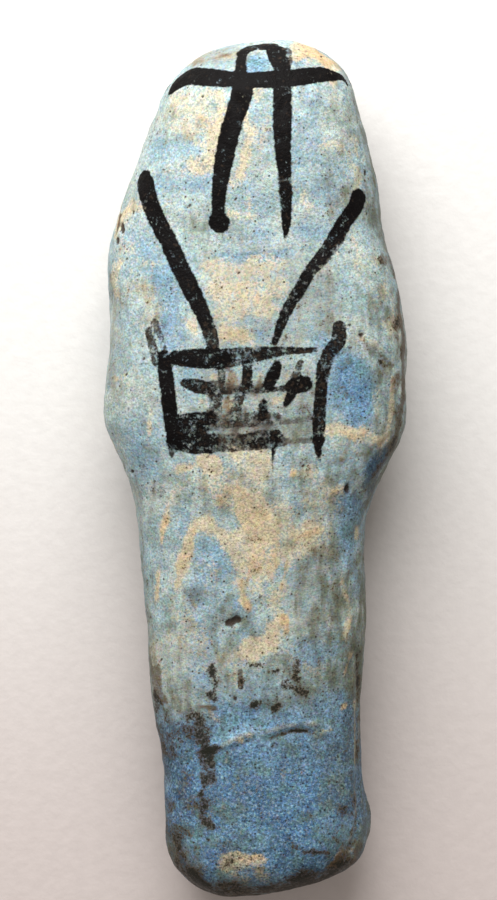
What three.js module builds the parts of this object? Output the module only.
// A mummiform funerary figurine in glazed faience, lying on its face with its back up.
// Millimetres. X runs across the figure, +Y towards the crown of the head, +Z up through the back.
// The origin is under the middle of the figure, on the surface that it lies on.
import * as THREE from "three";
import { mergeVertices } from "three/addons/utils/BufferGeometryUtils.js";

const { smoothstep, lerp, clamp } = THREE.MathUtils;

// Overall sizes
const HEIGHT = 110; // crown to soles
const WIDTH = 39; // across the elbows
const THICKNESS = 22; // the surface that it lies on to the top of the back

// The figure's own canon: lengths of the head, arms and feet, as shares of the height
const BROW = 0.058 * HEIGHT; // crown to the edge of the wig over the brow
const FACE_LENGTH = 0.124 * HEIGHT; // edge of the wig to the chin
const FACE_WIDTH = 0.106 * HEIGHT;
const FACE_RISE = 0.011 * HEIGHT; // face above the wig
const WIG_GROOVE = 0.005 * HEIGHT; // depth of the groove round the face
const NOSE_RISE = 0.0145 * HEIGHT;
const EYE_SPREAD = 0.021 * HEIGHT; // middle of the face to the middle of an eye
const EAR_SPREAD = 0.066 * HEIGHT; // middle of the face to the middle of an ear
const LAPPET_END = 0.288 * HEIGHT; // crown to the end of the wig's lappets
const LAPPET_WIDTH = 0.062 * HEIGHT;
const LAPPET_GAP = 0.027 * HEIGHT; // middle of the chest to a lappet
const LAPPET_RISE = 0.013 * HEIGHT;
const ARM_RADIUS = 0.026 * HEIGHT;
const ARM_RISE = 0.015 * HEIGHT;
const FIST_LENGTH = 0.052 * HEIGHT;
const FIST_WIDTH = 0.046 * HEIGHT;
const FIST_RISE = 0.031 * HEIGHT;
const TOE_BULGE = 0.019 * HEIGHT; // how far the toes stand out past the right edge of the back

// Rings along the figure: [distance from the crown as a share of the height, rings up to there]
const RING_BANDS = [
  [0.055, 8],
  [0.195, 21],
  [0.45, 24],
  [0.83, 8],
  [0.95, 6],
  [1, 7],
];
const BACK_SLICES = 22;
const FRONT_SLICES = 44;
const FRONT_FOCUS = 0.62; // under 1 gathers the front's slices round its middle line

// The outline seen from behind: share of the height, then the left and right edge in half widths
const OUTLINE = [
  [0, -0.57, 0.64],
  [0.068, -0.618, 0.65],
  [0.115, -0.726, 0.73],
  [0.171, -0.843, 0.797],
  [0.226, -0.946, 0.835],
  [0.259, -0.977, 0.889],
  [0.292, -0.972, 0.936],
  [0.329, -0.961, 0.967],
  [0.362, -0.97, 0.99],
  [0.385, -0.987, 0.982],
  [0.423, -1, 0.982],
  [0.46, -0.982, 0.99],
  [0.479, -0.93, 0.978],
  [0.5, -0.866, 0.846],
  [0.526, -0.812, 0.73],
  [0.554, -0.772, 0.702],
  [0.605, -0.756, 0.708],
  [0.67, -0.722, 0.73],
  [0.722, -0.703, 0.7],
  [0.769, -0.69, 0.682],
  [0.796, -0.658, 0.678],
  [0.815, -0.627, 0.69],
  [0.853, -0.617, 0.7],
  [0.91, -0.607, 0.712],
  [1, -0.607, 0.72],
];

// The side view: share of the height, then the heights of the back, the edge and the front in thicknesses
const PROFILE = [
  [0, 0.85, 0.56, 0.25],
  [0.055, 0.9, 0.54, 0.18],
  [0.12, 0.955, 0.52, 0.14],
  [0.185, 0.96, 0.51, 0.17],
  [0.225, 0.955, 0.51, 0.2],
  [0.3, 0.985, 0.52, 0.155],
  [0.4, 1, 0.52, 0.135],
  [0.48, 0.965, 0.52, 0.16],
  [0.55, 0.925, 0.52, 0.19],
  [0.66, 0.88, 0.51, 0.21],
  [0.76, 0.84, 0.49, 0.235],
  [0.83, 0.82, 0.47, 0.24],
  [0.865, 0.82, 0.45, 0.17],
  [0.895, 0.825, 0.43, 0.04],
  [0.92, 0.825, 0.43, -0.03],
  [0.955, 0.82, 0.42, -0.03],
  [1, 0.8, 0.42, 0.02],
];

// The middle line seen from behind, in half widths, and how square the back and front are (2 is an ellipse)
const SPINE = [
  [0, 0.11, 2.1, 2.1],
  [0.07, 0.04, 2.3, 2.3],
  [0.22, -0.04, 2.7, 2.5],
  [0.42, 0, 3, 2.7],
  [0.6, 0, 2.7, 2.3],
  [0.85, 0, 2.7, 2.2],
  [0.93, -0.02, 2.8, 2.5],
  [1, -0.14, 2.6, 2.6],
];

// Where the back was left uneven: across in half widths, everything else as shares of the height
const BACK_SWELLS = [
  { across: 0.02, down: 0.3, wide: 0.05, long: 0.055, rise: 0.0035 }, // between the shoulder blades
  { across: 0.15, down: 0.246, wide: 0.07, long: 0.02, rise: -0.0022 }, // under the wig
  { across: 0.62, down: 0.41, wide: 0.05, long: 0.05, rise: -0.004 }, // flat over the right elbow
  { across: 0.6, down: 0.483, wide: 0.075, long: 0.018, rise: 0.0045 }, // ridge under the right elbow
  { across: 0.08, down: 0.62, wide: 0.04, long: 0.13, rise: 0.004 }, // along the legs
  { across: 0.06, down: 0.805, wide: 0.11, long: 0.011, rise: 0.0035 }, // above the ankles
];

// What stands out or sinks on the face: across in millimetres, down and long as shares of the face's length,
// wide as a share of its width, rise as a share of the nose's
const FACE_SWELLS = [
  { across: EYE_SPREAD, down: 0.27, wide: 0.15, long: 0.075, rise: -0.32 }, // sockets
  { across: EYE_SPREAD, down: 0.28, wide: 0.1, long: 0.035, rise: 0.22 }, // eyes
  { across: EYE_SPREAD, down: 0.14, wide: 0.2, long: 0.04, rise: 0.2 }, // brows
  { across: 0.26 * FACE_WIDTH, down: 0.5, wide: 0.13, long: 0.12, rise: 0.16 }, // cheeks
  { across: 0, down: 0.74, wide: 0.17, long: 0.06, rise: 0.34 }, // lips
  { across: 0, down: 0.92, wide: 0.16, long: 0.08, rise: 0.3 }, // chin
  { across: EAR_SPREAD, down: 0.36, wide: 0.09, long: 0.15, rise: 0.65 }, // ears
];

// The nose: where it starts and ends down the face, its half widths there and the rise of its root
const NOSE = { top: 0.16, tip: 0.57, under: 0.09, rootHalf: 0.07, tipHalf: 0.115, root: 0.25 };
const CHIN_NARROWING = 0.24; // of the face's width
const FACE_OVAL = { middle: 0.47, half: 0.53, flat: 0.66, edge: 1.04, groove: 1.1, grooveHalf: 0.13 };

// An arm: across in half widths towards its own side, then down as a share of the height
const ARM = { shoulder: [0.77, 0.245], elbow: [0.84, 0.43], wrist: [-0.14, 0.352], fist: [-0.29, 0.336] };
const UPPER_ARM = { radius: 1.4, rise: 0.55 }; // against the lower arm
const OVER_ARM_RISE = 1.25; // the arm that lies over the other

// The groove between the feet and the bulge of the toes: places, half sizes and depth as shares of the height
const FOOT_GROOVE = { down: 0.94, wide: 0.012, long: 0.04, depth: 0.006 };
const TOES = { down: 0.905, long: 0.038, up: 0.2, high: 0.18 }; // up and high in thicknesses

// How far in from each end the rounding reaches, as a share of the height, and its squareness
const CROWN_CAP = { left: 0.075, right: 0.068, back: 0.085, front: 0.065, power: 2.1 };
const SOLE_CAP = { left: 0.077, right: 0.056, back: 0.05, front: 0.05, power: 2.1 };
const SOLE_SLANT = 0.065; // rise of the soles per length towards the right

// Smooth curves through the rows of a table: each column after the first is a function of the first
function curves(rows) {
  const at = rows.map((row) => row[0]);
  const values = rows.flatMap((row) => row.slice(1));
  const spline = new THREE.CubicInterpolant(at, values, rows[0].length - 1);
  return (share) => Array.from(spline.evaluate(share));
}

const outline = curves(OUTLINE);
const profile = curves(PROFILE);
const spine = curves(SPINE);

// 1 along the figure, falling to 0 over the rounded end
function endCap(distance, reach, power) {
  const inside = 1 - Math.min(distance / (reach * HEIGHT), 1);
  return (1 - inside ** power) ** (1 / power);
}

// A soft swelling that is 1 in its middle
function swell(x, y, halfX, halfY) {
  return Math.exp(-((x / halfX) ** 2) - (y / halfY) ** 2);
}

// 1 inside a band or limb, falling to 0 across its edge
function plateau(distance, radius, edge) {
  return 1 - smoothstep(distance, radius - edge, radius + edge);
}

// Distance from the middle of a square with round corners, 1 at its sides
function squircle(x, y) {
  return (x ** 4 + y ** 4) ** 0.25;
}

// The round back of a limb: 1 along its line, running out softly just past its radius
function limb(distance, radius) {
  return 1 - smoothstep(distance, 0.3 * radius, 1.15 * radius);
}

function distanceToLine(x, down, from, to) {
  const along = [to[0] - from[0], to[1] - from[1]];
  const offset = [x - from[0], down - from[1]];
  const t = (offset[0] * along[0] + offset[1] * along[1]) / (along[0] ** 2 + along[1] ** 2);
  const nearest = clamp(t, 0, 1);
  return Math.hypot(offset[0] - along[0] * nearest, offset[1] - along[1] * nearest);
}

// The face and ears: x from its middle line, down from the edge of the wig over the brow
function faceRelief(x, down) {
  const side = Math.abs(x);
  const v = down / FACE_LENGTH;
  const half = (FACE_WIDTH / 2) * (1 - CHIN_NARROWING * clamp(v, 0, 1) ** 2);
  const oval = Math.hypot(side / half, (v - FACE_OVAL.middle) / FACE_OVAL.half);
  const field = FACE_RISE * (1 - smoothstep(oval, FACE_OVAL.flat, FACE_OVAL.edge));
  const groove = WIG_GROOVE * Math.exp(-(((oval - FACE_OVAL.groove) / FACE_OVAL.grooveHalf) ** 2));
  const features = FACE_SWELLS.reduce((sum, { across, down: at, wide, long, rise }) => {
    const offset = [side - across, down - at * FACE_LENGTH];
    return sum + rise * NOSE_RISE * swell(offset[0], offset[1], wide * FACE_WIDTH, long * FACE_LENGTH);
  }, 0);
  return field - groove + noseRelief(x, v) + features;
}

// The nose: x from the face's middle line, v down the face as a share of its length
function noseRelief(x, v) {
  const along = clamp((v - NOSE.top) / (NOSE.tip - NOSE.top), 0, 1);
  const end = 1 - smoothstep(v, NOSE.tip, NOSE.tip + NOSE.under);
  const start = smoothstep(v, NOSE.top / 2, 1.25 * NOSE.top);
  const half = lerp(NOSE.rootHalf, NOSE.tipHalf, along) * FACE_WIDTH;
  return NOSE_RISE * lerp(NOSE.root, 1, along) * end * start * swell(x, 0, half, 1);
}

// The wig's two lappets on the chest
function lappetRelief(x, down) {
  const chin = BROW + FACE_LENGTH;
  const spread = lerp(0.9, 1, smoothstep(down, chin, LAPPET_END));
  const middle = (LAPPET_GAP + LAPPET_WIDTH / 2) * (2 - spread);
  const across = plateau(Math.abs(Math.abs(x) - middle), LAPPET_WIDTH / 2, 0.11 * LAPPET_WIDTH);
  const start = smoothstep(down, chin - 0.5 * FACE_LENGTH, chin + 0.1 * FACE_LENGTH);
  return LAPPET_RISE * across * start * (1 - smoothstep(down, 0.973 * LAPPET_END, 1.027 * LAPPET_END));
}

// One arm: side is 1 for the figure's right arm, which lies over the left
function armRelief(x, down, side) {
  const place = ([across, share]) => [(side * across * WIDTH) / 2, share * HEIGHT];
  const elbow = place(ARM.elbow);
  const fist = place(ARM.fist);
  const alongUpper = distanceToLine(x, down, place(ARM.shoulder), elbow);
  const alongLower = distanceToLine(x, down, elbow, place(ARM.wrist));
  const upper = UPPER_ARM.rise * ARM_RISE * limb(alongUpper, UPPER_ARM.radius * ARM_RADIUS);
  const lower = ARM_RISE * (side > 0 ? OVER_ARM_RISE : 1) * limb(alongLower, ARM_RADIUS);
  const inFist = squircle((x - fist[0]) / (FIST_WIDTH / 2), (down - fist[1]) / (FIST_LENGTH / 2));
  const hand = FIST_RISE * (1 - smoothstep(inFist, 0.74, 1.22));
  return Math.max(upper, lower, hand);
}

// The groove between the feet
function footGroove(x, down) {
  const { down: at, wide, long, depth } = FOOT_GROOVE;
  return depth * HEIGHT * swell(x, down - at * HEIGHT, wide * HEIGHT, long * HEIGHT);
}

// How far the back stands out at a place: x across from the frame's middle, down from the crown
function backRelief(x, down) {
  return BACK_SWELLS.reduce((sum, { across, down: at, wide, long, rise }) => {
    const offset = [x - (across * WIDTH) / 2, down - at * HEIGHT];
    return sum + rise * HEIGHT * swell(offset[0], offset[1], wide * HEIGHT, long * HEIGHT);
  }, 0);
}

// How far the front stands out at a place: x across from the middle line, down from the crown
function frontRelief(x, down) {
  const arms = Math.max(armRelief(x, down, 1), armRelief(x, down, -1));
  const chest = Math.max(lappetRelief(x, down), arms);
  return faceRelief(x, down - BROW) + chest - footGroove(x, down);
}

// Distances of the rings from the crown, closer together towards both ends
function ringStations() {
  const stations = [0];
  RING_BANDS.forEach(([end, count], band) => {
    const start = stations.at(-1);
    for (let ring = 1; ring <= count; ring += 1) {
      const t = ring / count;
      const eased = band === 0 ? t * t : band === RING_BANDS.length - 1 ? 1 - (1 - t) ** 2 : t;
      stations.push(lerp(start, end * HEIGHT, eased));
    }
  });
  return stations;
}

// Directions of the slices: from the left edge over the back to the right edge, and back below
function sliceAngles() {
  const angles = [];
  for (let slice = 0; slice < BACK_SLICES; slice += 1) {
    angles.push(Math.PI * (1 - slice / BACK_SLICES));
  }
  for (let slice = 0; slice < FRONT_SLICES; slice += 1) {
    const q = (2 * slice) / FRONT_SLICES - 1;
    const gathered = q * (FRONT_FOCUS + (1 - FRONT_FOCUS) * q * q);
    angles.push((Math.PI / 2) * (-1 - gathered));
  }
  return angles;
}

// The point of the skin at a distance below the crown and in a direction round the section
function skinPoint(down, angle) {
  const share = down / HEIGHT;
  const [left, right] = outline(share);
  const [back, edge, front] = profile(share);
  const [middle, backPower, frontPower] = spine(share);
  const cosine = Math.cos(angle);
  const sine = Math.sin(angle);
  const across = cosine < 0 ? "left" : "right";
  const upright = sine > 0 ? "back" : "front";
  const power = sine > 0 ? backPower : frontPower;
  const below = HEIGHT - down;
  const cap = (key) =>
    endCap(down, CROWN_CAP[key], CROWN_CAP.power) * endCap(below, SOLE_CAP[key], SOLE_CAP.power);
  const halfWidth = Math.abs((cosine < 0 ? left : right) - middle) * (WIDTH / 2) * cap(across);
  const depth = Math.abs((sine > 0 ? back : front) - edge) * THICKNESS * cap(upright);
  const radius = (Math.abs(cosine) ** power + Math.abs(sine) ** power) ** (-1 / power);
  const x = (middle * WIDTH) / 2 + halfWidth * radius * cosine;
  const z = edge * THICKNESS + depth * radius * sine;
  const upward = smoothstep(sine, 0, 0.5) * cap("back");
  const downward = smoothstep(-sine, 0, 0.4) * cap("front");
  const carved = z + upward * backRelief(x, down) - downward * frontRelief(x, down);
  const toes = [down - TOES.down * HEIGHT, z - TOES.up * THICKNESS];
  const bulge = TOE_BULGE * swell(toes[0], toes[1], TOES.long * HEIGHT, TOES.high * THICKNESS);
  const pushed = x + bulge * smoothstep(cosine, 0.3, 0.95) * cap("right");
  const slant = SOLE_SLANT * Math.max(0, pushed - (middle * WIDTH) / 2) * smoothstep(share, 0.93, 1);
  return [pushed, HEIGHT / 2 - down + slant, Math.max(carved, 0)];
}

// The whole skin: a sphere's grid, with its poles at the crown and the soles, drawn out to the figure
function figurineGeometry() {
  const stations = ringStations();
  const angles = sliceAngles();
  const rings = stations.length - 1;
  const geometry = new THREE.SphereGeometry(1, angles.length, rings);
  const { position, uv } = geometry.attributes;
  for (let i = 0; i < position.count; i += 1) {
    const ring = Math.round((1 - uv.getY(i)) * rings);
    const slice = Math.round(uv.getX(i) * angles.length) % angles.length;
    position.setXYZ(i, ...skinPoint(stations[ring], angles[slice]));
  }
  geometry.deleteAttribute("normal");
  geometry.deleteAttribute("uv");
  const skin = mergeVertices(geometry, 1e-4);
  skin.computeBoundingBox();
  const middle = skin.boundingBox.getCenter(new THREE.Vector3());
  skin.translate(-middle.x, -middle.y, -skin.boundingBox.min.z);
  skin.computeVertexNormals();
  return skin;
}

const faience = new THREE.MeshStandardMaterial({ color: 0x9fbfca, roughness: 0.62, metalness: 0 });
const figurine = new THREE.Mesh(figurineGeometry(), faience);
figurine.name = "figurine";

const model = new THREE.Group();
model.add(figurine);

export default model;
